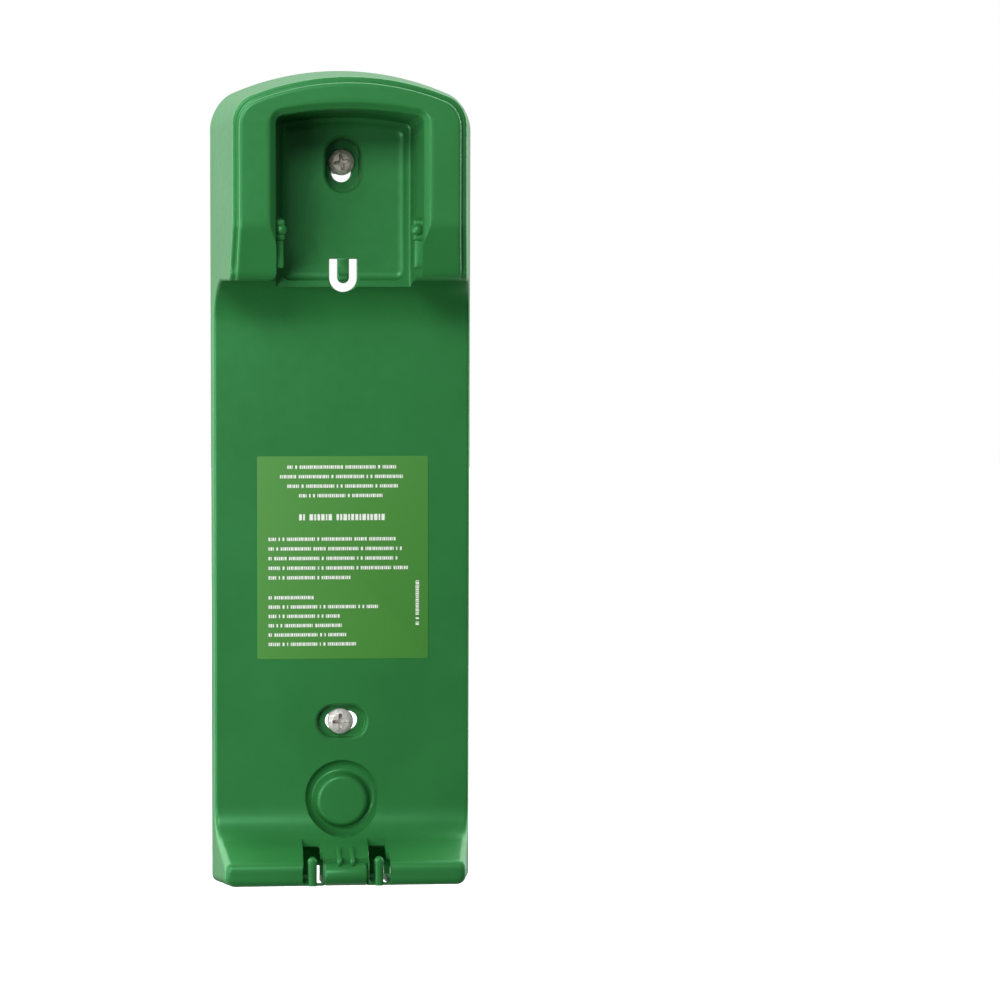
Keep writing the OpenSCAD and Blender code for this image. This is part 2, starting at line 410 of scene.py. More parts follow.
def slab_across(name: str, loop: Array, x0: float, x1: float, r: float) -> bpy.types.Object:
    """A (depth, height) outline carried across from x0 to x1, its two end edges rounded by r.

    Near an end the outline draws in by r less the root of r squared less the distance into the
    rounding squared.

    Args:
        name: name of the object.
        loop: (n, 2) outline of depth and height, anticlockwise.
        x0, x1: the two ends.
        r: radius of the end edges.

    Returns:
        The new object.
    """
    a = np.radians(spread(0, 90, 5))
    inset = np.concatenate([r * (1 - np.sin(a)), r * (1 - np.sin(a))[::-1]])
    across = np.concatenate([x0 + r * (1 - np.cos(a)), x1 - r * (1 - np.cos(a))[::-1]])
    loops = drawn_in(loop, inset)
    stations = np.stack([np.broadcast_to(across[:, None], loops.shape[:2]), loops[..., 0], loops[..., 1]],
                        axis=-1)
    return lofted(name, stations)


# --- finishes ----------------------------------------------------------------------------------


class Nodes:
    """A material's node tree with short ways to add and join nodes."""

    def __init__(self, name: str) -> None:
        """Starts a material of that name with a Principled shader."""
        self.material = bpy.data.materials.new(name)
        self.material.use_nodes = True
        self.tree = self.material.node_tree
        self.shader = self.tree.nodes["Principled BSDF"]
        self.place = self.add("ShaderNodeTexCoord").outputs["Object"]

    def add(self, kind: str, **settings: object) -> bpy.types.Node:
        """Adds a node and sets its properties or, by name, its inputs."""
        node = self.tree.nodes.new(kind)
        for key, value in settings.items():
            if hasattr(node, key):
                setattr(node, key, value)
            else:
                node.inputs[key.replace("_", " ")].default_value = value
        return node

    def join(self, start: bpy.types.NodeSocket, end: bpy.types.NodeSocket) -> None:
        """Joins an output to an input."""
        self.tree.links.new(start, end)

    def noise(self, scale: float, detail: float = 2.0, rough: float = 0.5) -> bpy.types.NodeSocket:
        """Noise on the piece's own coordinates, in cells per metre."""
        node = self.add("ShaderNodeTexNoise", Scale=scale, Detail=detail, Roughness=rough)
        self.join(self.place, node.inputs["Vector"])
        return node.outputs["Fac"]

    def ramp(self, fac: bpy.types.NodeSocket, low: float, high: float, a: Sequence[float],
             b: Sequence[float]) -> bpy.types.NodeSocket:
        """Colour a below low, b above high, and a straight mix between."""
        node = self.add("ShaderNodeValToRGB")
        ends = node.color_ramp.elements
        ends[0].position, ends[1].position = low, high
        ends[0].color, ends[1].color = (*a, 1), (*b, 1)
        self.join(fac, node.inputs["Fac"])
        return node.outputs["Color"]

    def mapped(self, fac: bpy.types.NodeSocket, low: float, high: float) -> bpy.types.NodeSocket:
        """Takes 0.3 to 0.7 of a value to low to high."""
        node = self.add("ShaderNodeMapRange")
        for key, value in zip(("From Min", "From Max", "To Min", "To Max"), (0.3, 0.7, low, high)):
            node.inputs[key].default_value = value
        self.join(fac, node.inputs["Value"])
        return node.outputs["Result"]

    def bump(self, height: bpy.types.NodeSocket, distance: float, strength: float,
             under: bpy.types.NodeSocket | None = None) -> bpy.types.NodeSocket:
        """A bump of that depth in metres, on top of another if one is given."""
        node = self.add("ShaderNodeBump", Distance=distance, Strength=strength)
        self.join(height, node.inputs["Height"])
        if under is not None:
            self.join(under, node.inputs["Normal"])
        return node.outputs["Normal"]


@dataclass(frozen=True)
class MouldedGreen:
    """Satin green plastic out of a spark-eroded mould, with a fine grain and faint flow clouds."""

    dark: tuple[float, float, float] = (0.0235, 0.165, 0.039)
    light: tuple[float, float, float] = (0.0275, 0.185, 0.046)
    grain: float = 2600.0
    rough_low: float = 0.31
    rough_high: float = 0.38
    sheen: tuple[float, float, float] = (0.32, 1.0, 0.52)

    def make(self) -> bpy.types.Material:
        """Builds the material: cloud noise mixes the greens, grain noise sets roughness and bump."""
        n = Nodes("green_plastic")
        n.join(n.ramp(n.noise(28, 3), 0.35, 0.65, self.dark, self.light), n.shader.inputs["Base Color"])
        grain = n.noise(self.grain, 3, 0.6)
        n.join(n.mapped(n.noise(420, 3), self.rough_low, self.rough_high), n.shader.inputs["Roughness"])
        n.join(n.bump(grain, 0.00004, 0.35), n.shader.inputs["Normal"])
        n.shader.inputs["Specular IOR Level"].default_value = 0.7
        n.shader.inputs["Specular Tint"].default_value = (*self.sheen, 1.0)
        return n.material


@dataclass(frozen=True)
class PrintedFilm:
    """Yellower green film of the label, smooth, with the faint dots of its printing."""

    dark: tuple[float, float, float] = (0.056, 0.243, 0.034)
    light: tuple[float, float, float] = (0.063, 0.262, 0.039)

    def make(self) -> bpy.types.Material:
        """Builds the material: fine dots mix two greens, slow waves give the film a slight bump."""
        n = Nodes("label_film")
        n.join(n.ramp(n.noise(5200, 1), 0.4, 0.6, self.dark, self.light), n.shader.inputs["Base Color"])
        n.join(n.mapped(n.noise(600, 2), 0.42, 0.5), n.shader.inputs["Roughness"])
        n.shader.inputs["Specular IOR Level"].default_value = 0.35
        n.join(n.bump(n.noise(60, 1), 0.0001, 0.12), n.shader.inputs["Normal"])
        return n.material


@dataclass(frozen=True)
class PrintInk:
    """White print, thin enough for a little of the film to show."""

    thin: tuple[float, float, float] = (0.70, 0.78, 0.66)
    full: tuple[float, float, float] = (0.88, 0.92, 0.86)

    def make(self) -> bpy.types.Material:
        """Builds the material: noise mixes thin and full ink."""
        n = Nodes("label_ink")
        n.join(n.ramp(n.noise(1800, 2), 0.3, 0.55, self.thin, self.full), n.shader.inputs["Base Color"])
        n.join(n.mapped(n.noise(900, 1), 0.5, 0.6), n.shader.inputs["Roughness"])
        return n.material


@dataclass(frozen=True)
class PlatedSteel:
    """Zinc-plated steel of a wall screw: cloudy grey with darker specks and fine scratches."""

    name: str = "plated_steel"
    dull: tuple[float, float, float] = (0.44, 0.43, 0.39)
    bright: tuple[float, float, float] = (0.72, 0.71, 0.67)
    rough_low: float = 0.34
    rough_high: float = 0.52

    def make(self) -> bpy.types.Material:
        """Builds the material: clouds mix the greys, stretched noise gives scratches as bump."""
        n = Nodes(self.name)
        n.join(n.ramp(n.noise(900, 4, 0.6), 0.36, 0.62, self.dull, self.bright),
               n.shader.inputs["Base Color"])
        n.join(n.mapped(n.noise(1500, 3), self.rough_low, self.rough_high), n.shader.inputs["Roughness"])
        turn = n.add("ShaderNodeMapping")
        turn.inputs["Rotation"].default_value = (0.0, 0.6, 0.0)
        turn.inputs["Scale"].default_value = (400.0, 1500.0, 9000.0)
        n.join(n.place, turn.inputs["Vector"])
        scratch = n.add("ShaderNodeTexNoise", Scale=1.0, Detail=2.0)
        n.join(turn.outputs["Vector"], scratch.inputs["Vector"])
        n.join(n.bump(scratch.outputs["Fac"], 0.00003, 0.4), n.shader.inputs["Normal"])
        n.shader.inputs["Metallic"].default_value = 0.3
        return n.material


@dataclass(frozen=True)
class PlugNylon:
    """Grey nylon of a wall plug, with milky clouds and a soft moulded skin."""

    dark: tuple[float, float, float] = (0.22, 0.235, 0.25)
    light: tuple[float, float, float] = (0.30, 0.315, 0.33)

    def make(self) -> bpy.types.Material:
        """Builds the material: clouds mix the greys, fine noise roughens and dents the skin."""
        n = Nodes("plug_nylon")
        n.join(n.ramp(n.noise(260, 3), 0.35, 0.65, self.dark, self.light), n.shader.inputs["Base Color"])
        n.join(n.mapped(n.noise(1200, 2), 0.42, 0.56), n.shader.inputs["Roughness"])
        n.join(n.bump(n.noise(3000, 2), 0.00004, 0.3), n.shader.inputs["Normal"])
        n.shader.inputs["Subsurface Weight"].default_value = 0.05
        n.shader.inputs["Subsurface Scale"].default_value = 0.002
        return n.material


@dataclass(frozen=True)
class PaleFloor:
    """Plain pale studio floor with a hardly visible mottling."""

    def make(self) -> bpy.types.Material:
        """Builds the material: slow noise between two whites."""
        n = Nodes("pale_floor")
        n.join(n.ramp(n.noise(3, 2), 0.3, 0.7, (0.86, 0.86, 0.86), (0.9, 0.9, 0.9)),
               n.shader.inputs["Base Color"])
        n.shader.inputs["Roughness"].default_value = 0.9
        return n.material


def dress(item: bpy.types.Object, material: bpy.types.Material) -> None:
    """Gives the piece one material."""
    item.data.materials.clear()
    item.data.materials.append(material)


# --- the moulding ------------------------------------------------------------------------------


@dataclass
class Skin:
    """One side of the moulding's wall, outer or inner, as a grid of rows down and columns across.

    A row is a place on the side profile: top wall, hood face, brow, underside, hollow curve,
    panel, cove, ledge, lip and bottom wall. A column is a stage from the foot of the left side
    wall over its rounded edge, shelf and step to the middle, and the same on the right.
    """

    inset: float = 0.0
    edge_r: float = 0.8
    step: float = 2.0
    lip_r: float = 2.3
    top_r: float = 7.5
    foot_r: float = 2.6
    draft: float = 0.135
    top_ease: float = 0.023
    foot_ease: float = 0.012
    face_d: float = 48.0
    panel_d: float = 6.0
    ledge_d: float = 28.0
    arch_r: float = 92.0
    top_block: float = 16.0
    foot_block: float = 8.0
    face_end: float = 226.0
    face_r: float = 10.0
    face_low: float = 209.46
    lean: float = 20.0
    brow_r: float = 4.5
    brow_z: float = 211.0
    hollow_r: float = 16.0
    hollow_z: float = 190.5
    cove_r: float = 12.5
    cove_z: float = 27.5
    nose_r: float = 3.2
    nose_z: float = 8.49

    def stages(self, depth: Array, edge: Array, step: Array) -> tuple[Array, Array, Array]:
        """Where each stage of a side wall lies: how far in from the wall's foot, and how deep.

        The wall leans in by draft times depth up to the tangent of its rounded edge; the edge is a
        quarter circle; then come a shelf, a step up and the step's own rounded edge.

        Args:
            depth, edge, step: depth of the face, radius of the edge and height of the step, for
                each row.

        Returns:
            Inset, drop below the face and fraction of the wall, each (rows, stages). The fraction
            is under 1 on the wall and 1 past it.
        """
        depth, edge, step = (np.asarray(v, float)[:, None] for v in (depth, edge, step))
        up = spread(0, 1, 13)[None]
        base = depth - edge - step
        wall_in = self.draft * base * up
        wall_drop = depth - base * up
        a = np.radians(spread(90, 0, 6))[None, 1:]
        edge_in = self.draft * base + edge * (1 - np.sin(a))
        edge_drop = step + edge * (1 - np.cos(a))
        ps = np.radians(spread(0, 90, 5))
        out = np.concatenate([[0.45, 0.9, 1.05, 1.17], 2.25 - np.cos(ps), [2.75]])[None]
        rise = np.concatenate([[0, 0, 0.04, 0.2], 0.5 + 0.5 * np.sin(ps), [1.0]])[None]
        step_in = self.draft * base + edge + out
        step_drop = step * (1 - rise)
        inset = np.concatenate([wall_in, edge_in, step_in], axis=1)
        drop = np.concatenate([wall_drop, edge_drop, step_drop], axis=1)
        part = np.concatenate([up, np.ones((1, drop.shape[1] - 13))], axis=1)
        return inset, drop, np.broadcast_to(part, drop.shape)

    def profile(self) -> Array:
        """The side profile from the end of the hood's face to the front of the lip.

        Straight lines and circular arcs; a line's normal is its direction turned a quarter
        forwards, an arc's normal is along its radius, outwards where it bulges.

        Returns:
            (rows, 4) array of depth, height and the two parts of the normal.
        """
        lean = math.radians(self.lean)

        def bent(cx: float, cz: float, r: float, a0: float, a1: float, n: int, bulge: float) -> Array:
            """An arc of n points from angle a0 to a1, with its normals, outwards if bulge is 1."""
            a = np.radians(spread(a0, a1, n))
            unit = np.stack([np.cos(a), np.sin(a)], axis=-1)
            return np.concatenate([[cx, cz] + r * unit, bulge * unit], axis=1)

        def straight(p: Array, q: Array, n: int) -> Array:
            """The inner points of a line with its normals."""
            t = spread(0, 1, n + 1)[1:-1, None]
            way = (q - p) / np.linalg.norm(q - p)
            normal = np.broadcast_to([-way[1], way[0]], (n - 1, 2))
            return np.concatenate([p + t * (q - p), normal], axis=1)

        soft = bent(self.face_d - self.face_r, self.face_end, self.face_r, 0, -self.lean, 6, 1)
        fall = (soft[-1, 1] - self.face_low) * math.tan(lean)
        brow_d = soft[-1, 0] - fall - self.brow_r * math.cos(lean)
        brow = bent(brow_d, self.brow_z, self.brow_r, -self.lean, -90, 9, 1)
        under = bent(self.panel_d + self.hollow_r, self.hollow_z, self.hollow_r, 90, 180, 22, -1)
        cove = bent(self.panel_d + self.cove_r, self.cove_z, self.cove_r, 180, 250, 18, -1)
        lip = bent(self.ledge_d - self.nose_r, self.nose_z, self.nose_r, 70, 0, 9, 1)
        parts = [soft, straight(soft[-1, :2], brow[0, :2], 8), brow,
                 straight(brow[-1, :2], under[0, :2], 10), under,
                 straight(under[-1, :2], cove[0, :2], 96), cove,
                 straight(cove[-1, :2], lip[0, :2], 10), lip,
                 np.array([[self.ledge_d, self.foot_block, 1, 0]])]
        return np.concatenate(parts)

    def corner(self, a: Array, b: Array, block: float,
               radius: Callable[[Array], Array]) -> tuple[Array, Array]:
        """Bends the square corner of the grid round.

        A point that is a from one side and b from the other lies on the angle line at q, the
        smaller of the two. That line is redrawn as two straights joined by an arc of radius(q),
        and the point keeps its share of the way from the block's edge to the diagonal.

        Args:
            a, b: distances from the two sides.
            block: distance from both sides beyond which nothing moves.
            radius: radius of the arc for each q.

        Returns:
            The new distances.
        """
        inside = (a < block) & (b < block)
        q = np.where(inside, np.minimum(a, b), 0.0)
        far = np.where(inside, np.maximum(a, b), block)
        r = radius(q)
        way = (block - far) / (block - q) * ((block - q - r) + r * np.pi / 4)
        flat = block - q - r
        turn = np.clip((way - flat) / np.maximum(r, 1e-9), 0, None)
        near = q + r * (1 - np.cos(turn))
        away = np.where(way < flat, block - way, q + r * (1 - np.sin(turn)))
        new_a = np.where(a <= b, near, away)
        new_b = np.where(a <= b, away, near)
        return np.where(inside, new_a, a), np.where(inside, new_b, b)

    def points(self) -> Array:
        """The grid's points: (rows, columns, 3) in shop coordinates."""
        t = self.inset
        half = HALF_W - t
        mid = self.profile()
        mid[:, :2] -= t * mid[:, 2:]
        along = np.concatenate([[0], np.cumsum(np.hypot(*np.diff(mid[:, :2], axis=0).T))])
        count = len(mid)
        brow_i = 6 + 7
        under_i = brow_i + 9 + 9 + 22 - 1
        cove_i = under_i + 1 + 95
        fixed = [0, under_i, cove_i, count - 1]
        foot_z = np.interp(along, along[fixed], mid[fixed, 1])
        row = np.arange(count)
        step = self.step * np.interp(row, [brow_i, brow_i + 8], [1, 0])
        edge = np.interp(row, [brow_i, under_i, cove_i, cove_i + 22, count - 1],
                         [self.edge_r, min(self.edge_r, 1.0) * 1.3, self.edge_r * 1.3, self.lip_r,
                          self.lip_r])
        return self._assemble(half, mid, foot_z, step, edge)

    def _assemble(self, half: float, mid: Array, foot_z: Array, step: Array, edge: Array) -> Array:
        """Joins the top block, the rows of the profile and the bottom block.

        Args:
            half: half width at the wall.
            mid: rows of the side profile with their normals.
            foot_z: height of each row where it meets the wall.
            step, edge: height of the step and radius of the edge for each row.

        Returns:
            (rows, columns, 3) array.
        """
        t = self.inset
        inner = spread(0, 1, 25)[None, 1:]

        def columns(inset: Array) -> Array:
            """Adds the columns between the last stage and the middle."""
            last = inset[:, -1:]
            return np.concatenate([inset, last + (half - last) * inner], axis=1)

        def widen(values: Array, fill: Array) -> Array:
            """Carries a per-stage value on to the middle columns."""
            return np.concatenate([values, np.broadcast_to(fill, (len(values), inner.shape[1]))], axis=1)

        in_mid, drop_mid, part = self.stages(mid[:, 0], edge, step)
        a_mid = columns(in_mid)
        drop = widen(drop_mid, np.zeros((len(mid), 1)))
        part = widen(part, np.ones((len(mid), 1)))
        base = (edge + step)[:, None]
        low_d = mid[:, :1] - base * mid[:, 2:3]
        low_z = mid[:, 1:2] - base * mid[:, 3:4]
        on_wall = part < 1
        d_mid = np.where(on_wall, part * low_d, mid[:, :1] - drop * mid[:, 2:3])
        z_mid = np.where(on_wall, foot_z[:, None] + part * (low_z - foot_z[:, None]),
                         mid[:, 1:2] - drop * mid[:, 3:4])
        lean_in = self.draft * low_d
        a_mid = np.where(on_wall, self.draft * d_mid, a_mid - self.draft * (mid[:, :1] - base) + lean_in)
        a_mid = np.minimum(a_mid, half)
        a_mid[:, -24:] = a_mid[:, -25:-24] + (half - a_mid[:, -25:-24]) * inner

        def block(depth: float, edge_r: float, rise: float, far: Array, size: float,
                  radius: Callable[[Array], Array]) -> tuple[Array, Array, Array]:
            """A corner block: insets a and b, bent round, and depth from the lower of two stages.

            Args:
                depth: depth of its face.
                edge_r, rise: radius of its edge and height of its step.
                far: further rows past the last stage.
                size: size of the block, beyond which the corner doesn't reach.
                radius: radius of the corner for each distance from its sides.

            Returns:
                Distance from the side, distance from the end and depth of each point.
            """
            ins, drp, _ = self.stages(np.array([depth]), np.array([edge_r]), np.array([rise]))
            b = np.concatenate([ins[0], far])
            room = size - 0.4
            if not len(far):
                b = np.where(b > room, room + 0.3 * (b - room) / max(b[-1] - room, 1e-9), b)
            d_of = np.concatenate([depth - drp[0], np.full(len(far), depth)])
            a = columns(ins)[0]
            d_col = np.concatenate([depth - drp[0], np.full(inner.shape[1], depth)])
            aa, bb = np.meshgrid(a, b)
            d = np.minimum(d_col[None], d_of[:, None])
            new_a, new_b = self.corner(aa, bb, size, radius)
            return new_a, new_b, d

        far = spread(0, 1, 27)[1:-1]
        top_depth = self.face_d - t
        last = self.stages(np.array([top_depth]), np.array([edge[0]]), np.array([self.step]))[0][0, -1]
        span = BODY_H - t - self.face_end - last
        a_top, b_top, d_top = block(
            top_depth, edge[0], self.step, last + span * far, self.top_block - t,
            lambda q: np.interp(q, [0, 6.2, 8.1, self.top_block - t],
                                np.maximum([self.top_r - t, 5.5 - t, 5 - t, 0], 0)))
        a_foot, b_foot, d_foot = block(
            self.ledge_d - t, self.lip_r, 0.0, np.zeros(0), self.foot_block - t,
            lambda q: np.interp(q, [0, 3.4, self.foot_block - t],
                                np.maximum([self.foot_r - t, 3.5 - t, 0], 0)))
        z_top = BODY_H - t - b_top
        a_foot, b_foot, d_foot = a_foot[::-1], b_foot[::-1], d_foot[::-1]
        z_foot = t + b_foot
        a = np.concatenate([a_top, a_mid, a_foot])
        d = np.concatenate([d_top, d_mid, d_foot])
        z = np.concatenate([z_top, z_mid, z_foot])
        x = half - a
        bend = self.arch_r - np.clip(BODY_H - z, 0, 14)
        sag = bend - np.sqrt(bend ** 2 - x ** 2)
        high = smooth_step((z - 222) / 42)
        low = 1 - smooth_step((z - 3) / 8)
        z = z - sag * high + d * (self.top_ease * high - self.foot_ease * low)
        left = np.stack([-x, d, z], axis=-1)
        right = np.stack([x, d, z], axis=-1)[:, ::-1][:, 1:]
        return np.concatenate([left, right], axis=1)


@dataclass
class Moulding:
    """The green moulding: hood with its cap pocket, panel, ledge, seats, boss and hinge bar."""

    wall: float = 2.2
    pocket_d: float = 14.5
    tray_d: float = 13.0
    seat_d: float = 3.0
    upper_z: float = 245.65
    lower_z: float = 55.9
    boss_z: float = 28.9
    hood_z: float = 206.5
    roof_z: float = 261.4
    roof_r: float = 117.0
    notch_x: float = 11.15

    def build(self, green: bpy.types.Material) -> bpy.types.Object:
        """Makes the whole moulding and puts it in the place of its frame node.

        Args:
            green: the moulded green material.

        Returns:
            The finished piece.
        """
        body = self.hollow_body()
        work_in(body, self.backing(), Cut.ADD)
        for tool in self.added_behind():
            work_in(body, tool, Cut.ADD)
        for tool in self.removed():
            work_in(body, tool, Cut.REMOVE)
        for tool in self.added_in_front():
            work_in(body, tool, Cut.ADD)
        body.name = "holder_moulding"
        crease(body, 34)
        dress(body, green)
        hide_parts("holder")
        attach(body, "holder")
        return body

    def hollow_body(self) -> bpy.types.Object:
        """The outer skin and the inner skin, joined round their edge on the wall plane."""
        outer = Skin().points()
        inner = Skin(inset=self.wall, edge_r=0.5, step=0.0, lip_r=0.8).points()
        shell = Shell("holder_moulding")
        shell.grid(outer)
        shell.grid(inner)
        shell.grid(np.stack([rim_on_wall(outer), rim_on_wall(inner)]), closed=True)
        return shell.build(weld=2e-6)

    def backing(self) -> bpy.types.Object:
        """Pocket walls and the plug under the ring groove, held inside the outer skin itself."""
        outer = Skin().points()
        shell = Shell("backing")
        shell.grid(outer)
        shell.cap(rim_on_wall(outer))
        block = shell.build(weld=2e-6)
        plug = np.array([[0, 1.0], [15.2, 1.0], [16.6, 3.0], [18.2, 26], [0, 26]])
        both = turned("ring_block", plug, 0, self.boss_z, 96)
        work_in(both, self.pocket_walls(), Cut.ADD)
        work_in(block, both, Cut.KEEP)
        return block

    def pocket_loop(self, w: float, crown: float, rc: float, bell: float, low: float) -> Array:
        """Outline of the cap pocket: arched, open below, its sides belling out by bell at the foot.

        Args:
            w: half width.
            crown: height of the roof's crown.
            rc: radius of the upper corners.
            bell: radius of the outward curve at the foot of each side.
            low: height of the loop's bottom.

        Returns:
            (n, 2) closed loop, anticlockwise.
        """
        top = arch_half(w, crown, self.roof_r, rc, (8, 14))
        foot = arc(w + bell, self.hood_z + bell, bell, 270, 180, 7)
        side = side_line(w, self.hood_z + bell, top[0, 1], 12)
        return mirrored(np.concatenate([[[w + bell, low]], foot, side, top]))

    def pocket_walls(self) -> bpy.types.Object:
        """The block that the cap pocket is cut from, a wall's thickness wider than the pocket."""
        depths = [10.8, 13.5, 15.0, 18.5, 49.0]
        lows = [204.4, 204.4, 205.0, 205.0, 205.0]
        loops = []
        for depth, low in zip(depths, lows):
            w = 22.7 + (depth - self.pocket_d) * 0.054 + self.wall
            crown = self.roof_z + (depth - self.pocket_d) * 0.035 + self.wall
            loops.append(mirrored(np.concatenate([[[w, low]], arch_half(w, crown, self.roof_r, 5, (7, 12))])))
        return lofted("pocket_walls", at_depths(np.stack(loops), np.array(depths)))

    def added_behind(self) -> list[bpy.types.Object]:
        """Screw bosses, the notches' back and the ribs that stand in the hollow back."""
        items = [flared("upper_boss", slot_loop(8.0, 11.05), np.array([[-0.3, 0.03], [0, 0.33], [0, 12]]),
                        z=self.upper_z),
                 flared("lower_boss", slot_loop(10.5, 7.65), np.array([[-0.3, 0.03], [0, 0.33], [0, 5]]),
                        z=self.lower_z),
                 self.notch_back()]
        low_rib = np.array([[-0.35, 0.04], [0, 0.4], [0, 4.6]])
        tall_rib = np.array([[-0.35, 0.04], [0, 0.4], [0, 11.6]])
        for z in (78, 101, 124, 147, 170):
            items.append(flared(f"cross_rib_{z}", box_loop(-43, 43, z, z + 1.6, 0.3), low_rib))
        items.append(flared("hood_rib", box_loop(-42.2, 42.2, 232, 233.6, 0.3), tall_rib))
        for x in (-16, 16):
            items.append(flared("long_rib", box_loop(x - 0.8, x + 0.8, 40, 195, 0.3), low_rib))
        return items

    def removed(self) -> list[bpy.types.Object]:
        """The pocket, its tray, both screw seats, the tongue's window, the ring and the notches."""
        items = [self.pocket_cutter(), self.tray_cutter()]
        seat = eased_corners([(-0.6, self.seat_d, 0), (-0.25, self.seat_d, 0.4),
                              (0.0, self.tray_d - 0.6, 0.3), (0.75, self.tray_d + 0.02, 0),
                              (1.3, self.tray_d + 0.5, 0)])
        items.append(flared("upper_seat", slot_loop(6.0, 9.05), seat, z=self.upper_z))
        seat = eased_corners([(-0.6, self.seat_d, 0), (-0.2, self.seat_d, 0.4), (0.0, 5.4, 0.3),
                              (0.75, 6.02, 0), (1.3, 6.5, 0)])
        items.append(flared("lower_seat", slot_loop(8.45, 5.65), seat, z=self.lower_z))
        slot = np.array([[0.25, -1], [0, 0.6], [0, 2.6], [0.35, 3.02], [0.6, 3.3]])
        items.append(flared("upper_slot", slot_loop(3.35, 5.55), slot, z=self.upper_z))
        items.append(flared("lower_slot", slot_loop(5.55, 3.35), slot, z=self.lower_z))
        window = np.concatenate([arc(0, 207.55, 4.65, 180, 360, 25), [[4.65, 214.0], [-4.65, 214.0]]])
        items.append(flared("tongue_window", window, np.array([[0, 3], [0, 12.6], [0.3, 13.02], [0.6, 13.3],
                                                               [0.6, 24]])))
        ring = eased_corners([(0, 3.6, 0), (11.3, 3.6, 2.4), (13.0, 6.4, 0), (13.3, 17, 0), (13.5, 22, 0),
                              (0, 22, 0)])
        items.append(turned("ring_groove", ring, 0.15, self.boss_z + 1.1, 96))
        for side in (-1, 1):
            items.extend(self.notch_cutters(side))
        bar = box_loop(-7.55, 7.55, -0.5, 16, 0.3)
        items.append(flared("bar_gap", bar, np.array([[0, 24.0], [0, 30]])))
        return items

    def pocket_cutter(self) -> bpy.types.Object:
        """The cap pocket: its mouth has a soft chamfer, its back corner is eased."""
        d = np.array([self.pocket_d, 14.52, 14.75, 15.4, 20, 23, 27, 36, 45.4, 45.8, 46.1, 46.4, 47.4, 47.7,
                      47.9, 48.02, 49.5])
        draft = (np.clip(d, self.pocket_d, 46) - self.pocket_d) * 0.04
        grow = np.array([-0.9, -0.45, -0.12, 0, 0, 0, 0, 0, 0, 0.06, 0.22, 0.5, 1.55, 1.83, 2.1, 2.5, 4.0])
        bell = np.interp(d, [0, 23, 28, 60], [0.03, 0.03, 2.6, 2.6])
        loops = [self.pocket_loop(22.75 + s + g, self.roof_z + 0.6 * s + g, 2.5 + max(g, 0), r, 199.0)
                 for s, g, r in zip(draft, grow, bell)]
        return lofted("pocket", at_depths(np.stack(loops), d))

    def tray_cutter(self) -> bpy.types.Object:
        """The shallow tray in the back of the pocket, with an eased rim."""
        grow = np.array([[-2.9, 12.98], [-2.0, 13.06], [-1.2, 13.27], [-0.55, 13.62], [-0.15, 14.0],
                         [0.05, 14.35], [0.25, 14.56], [0.6, 14.9], [0.8, 20]])
        return flared("tray", arched_loop(21.0, 206.9, 259.6, self.roof_r, 3.6, 3.2), grow)

    def notch_back(self) -> bpy.types.Object:
        """The closed back of both notches: a plate behind the ledge, open below for the pins."""
        plate = np.array([[0.6, 1.0], [2.2, 1.0], [2.4, 11.0], [6.6, 14.6], [6.6, 20.0], [4.6, 20.0],
                          [0.6, 13.4]])
        return slab_across("notch_back", plate, -17.0, 17.0, 0.3)

    def notch_cutters(self, side: int) -> list[bpy.types.Object]:
        """The notch of one hook: a window in the ledge, a gap in the lip and a way through beside it.

        Args:
            side: -1 for the left notch, 1 for the right one.

        Returns:
            The solids to remove.
        """
        x = side * self.notch_x
        window = flared("notch_window", box_loop(x - 2.95, x + 2.95, 9.0, 20, 0.3),
                        np.array([[0, 12.4], [0, 25.2]]))
        gap = flared("notch_gap", box_loop(x - 3.2, x + 3.9, 4.1, 17, 0.9),
                     np.array([[-0.25, 20.6], [0, 21], [0, 27.2], [0.5, 28.4], [0.9, 29]]))
        below = flared("notch_below", box_loop(x + 1.3, x + 3.7, -2, 9.5, 0.4),
                       np.array([[0, 11.4], [0, 25.2]]))
        behind = flared("notch_behind", box_loop(x + 1.3, x + 3.7, -2, 5.6, 0.4),
                        np.array([[0, -2.0], [0, 12]]))
        return [window, gap, below, behind]

    def added_in_front(self) -> list[bpy.types.Object]:
        """The round boss, the hinge bar with its ribs, and the tabs inside the mouth."""
        boss = eased_corners([(0, 1.4, 0), (11.4, 1.4, 0), (11.4, 3.4, 0.5), (9.6, 3.7, 1.6), (8.4, 7.4, 1.7),
                              (0, 7.4, 0)], 8)
        items = [turned("round_boss", boss, 0, self.boss_z, 96)]
        bar = np.concatenate([arc(24.2, 6.75, 3.8, -95, 95, 30), [[20.6, 10.5], [20.6, 3.0]]])
        items.append(slab_across("hinge_bar", bar, -7.45, 7.45, 1.0))
        rib = np.concatenate([arc(25.4, 11.0, 1.5, -60, 60, 9), arc(19.0, 13.9, 1.1, 70, 150, 7),
                              [[17.6, 12.5]]])
        for x in (-2.1, 2.3):
            items.append(slab_across("ledge_rib", rib, x - 0.75, x + 0.75, 0.45))
        for side in (-1, 1):
            items.extend(self.mouth_tab(side))
        return items

